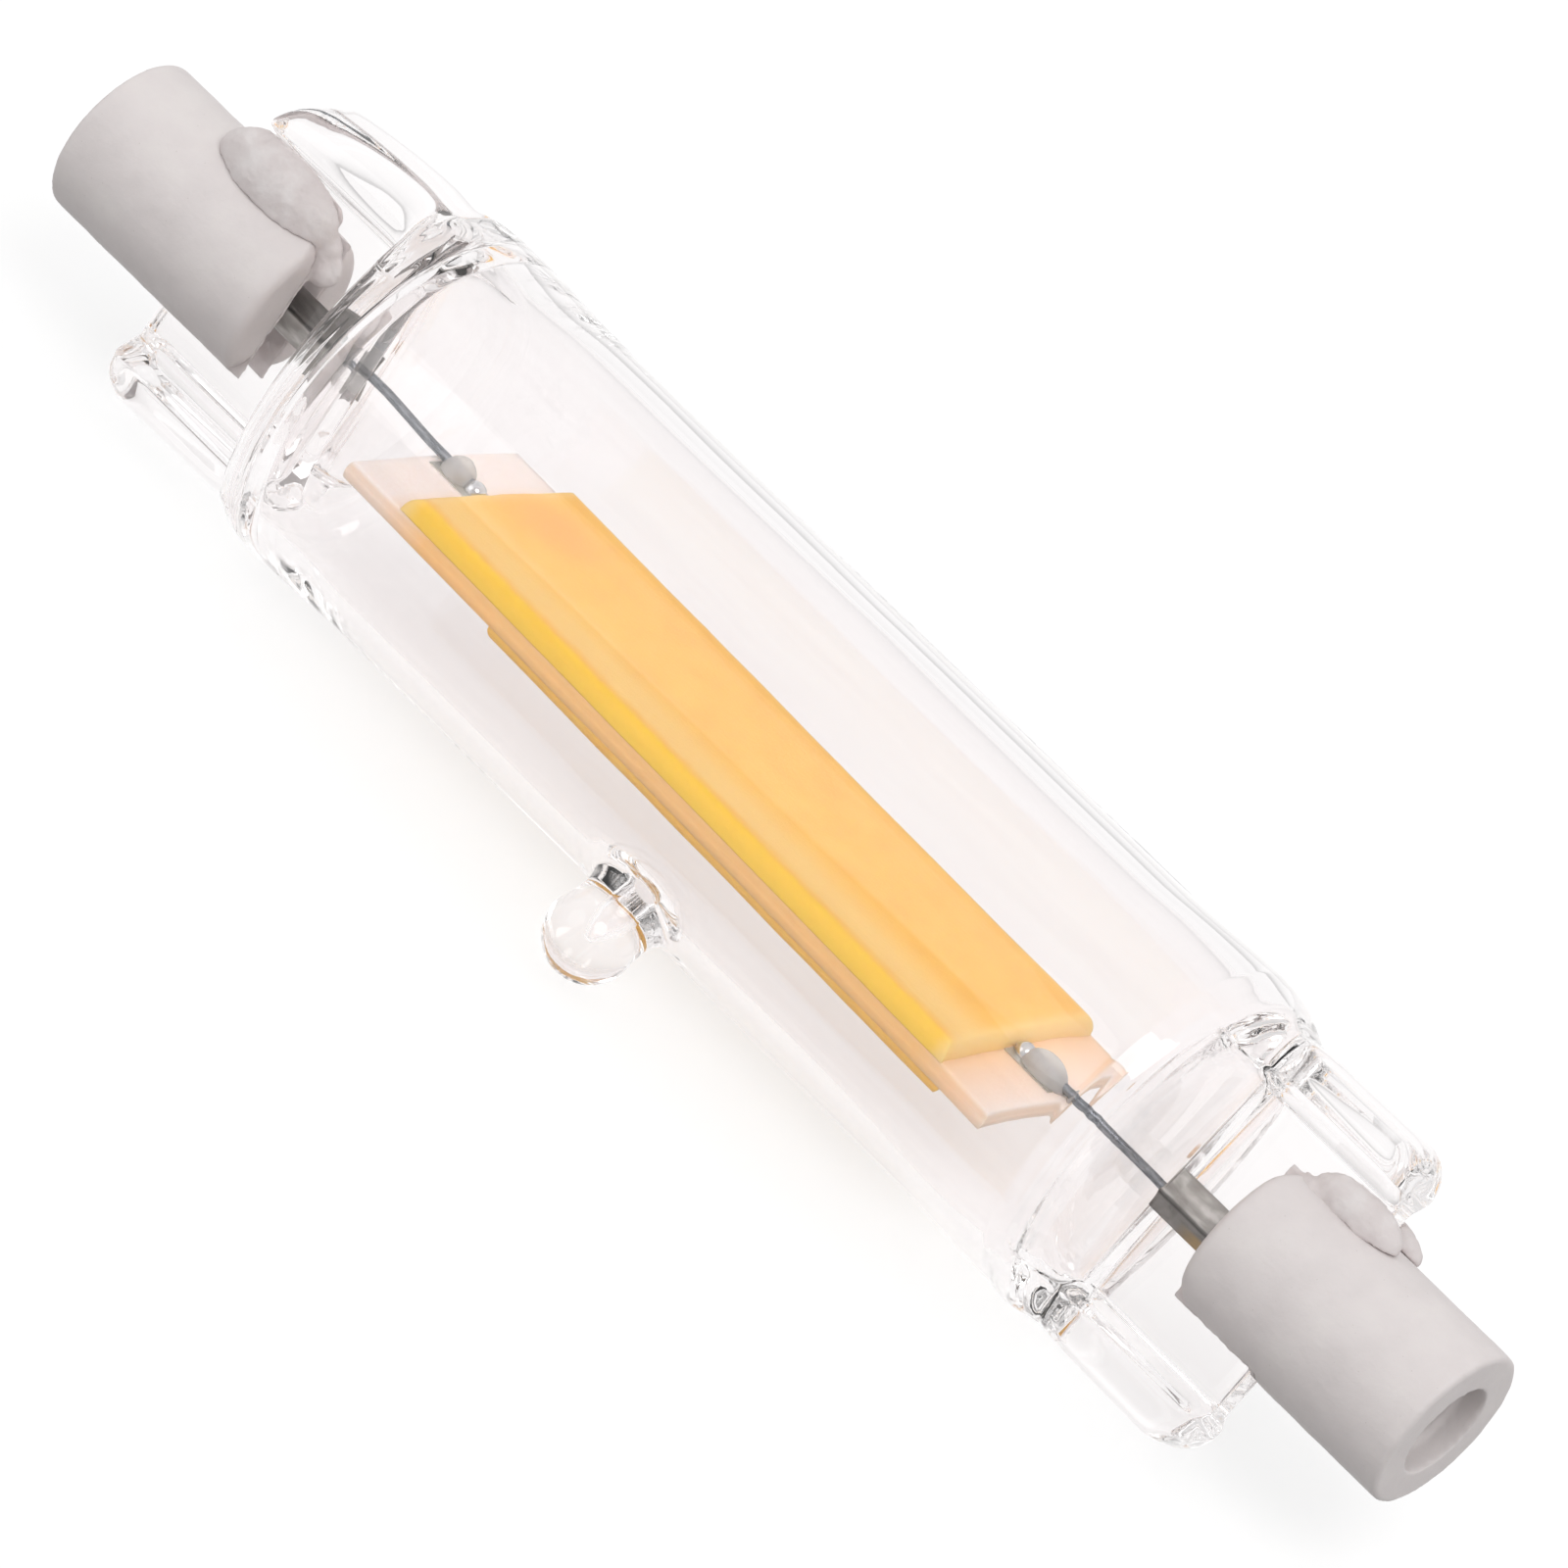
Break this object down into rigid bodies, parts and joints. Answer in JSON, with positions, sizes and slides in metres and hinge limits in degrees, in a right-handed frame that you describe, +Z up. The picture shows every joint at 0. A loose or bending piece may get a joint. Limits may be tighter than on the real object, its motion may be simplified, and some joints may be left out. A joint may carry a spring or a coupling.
{
  "type": "double-ended linear led bulb",
  "caption": "Double-ended linear LED bulb: clear glass tube pressed flat at both ends, a phosphor-coated plate inside on wire leads, and slotted ceramic caps with sunken contacts.",
  "frame": {"origin": "on the lamp axis at mid-length", "axes": "+X along the lamp axis to the right-hand cap, +Z up from the surface that the lamp lies on; the exhaust tip is on the -Y side, below the axis"},
  "size_m": [0.078, 0.018, 0.0164],
  "materials": {
    "clear_glass": "fire-polished clear glass",
    "plate_ceramic": "translucent fired ceramic strip",
    "front_coat": "phosphor-loaded silicone, satin",
    "back_coat": "thin phosphor-loaded silicone, satin",
    "light_dies": "bare light-emitting dies",
    "control_dies": "bare silicon dies",
    "printed_silver": "fired silver print",
    "bright_solder": "bright solder",
    "clear_resin": "milky clear resin",
    "lead_wire": "drawn nickel wire",
    "sealing_foil": "etched thin molybdenum foil",
    "contact_metal": "turned and nickel-plated",
    "cap_ceramic": "unglazed white steatite",
    "cap_cement": "set grey-pink cement"
  },
  "bodies": {
    "root": {"glass_envelope": "clear_glass", "led_substrate": "plate_ceramic", "phosphor_front": "front_coat", "phosphor_back": "back_coat", "led_chips": "light_dies", "driver_die": "control_dies", "rectifier_die": "control_dies", "terminal_pad_left": "printed_silver", "solder_joint_left": "bright_solder", "joint_bead_left": "clear_resin", "inner_lead_left": "lead_wire", "seal_foil_left": "sealing_foil", "outer_lead_left": "lead_wire", "contact_left": "contact_metal", "end_cap_left": "cap_ceramic", "cap_cement_left": "cap_cement", "terminal_pad_right": "printed_silver", "solder_joint_right": "bright_solder", "joint_bead_right": "clear_resin", "inner_lead_right": "lead_wire", "seal_foil_right": "sealing_foil", "outer_lead_right": "lead_wire", "contact_right": "contact_metal", "end_cap_right": "cap_ceramic", "cap_cement_right": "cap_cement"}
  },
  "joints": []
}
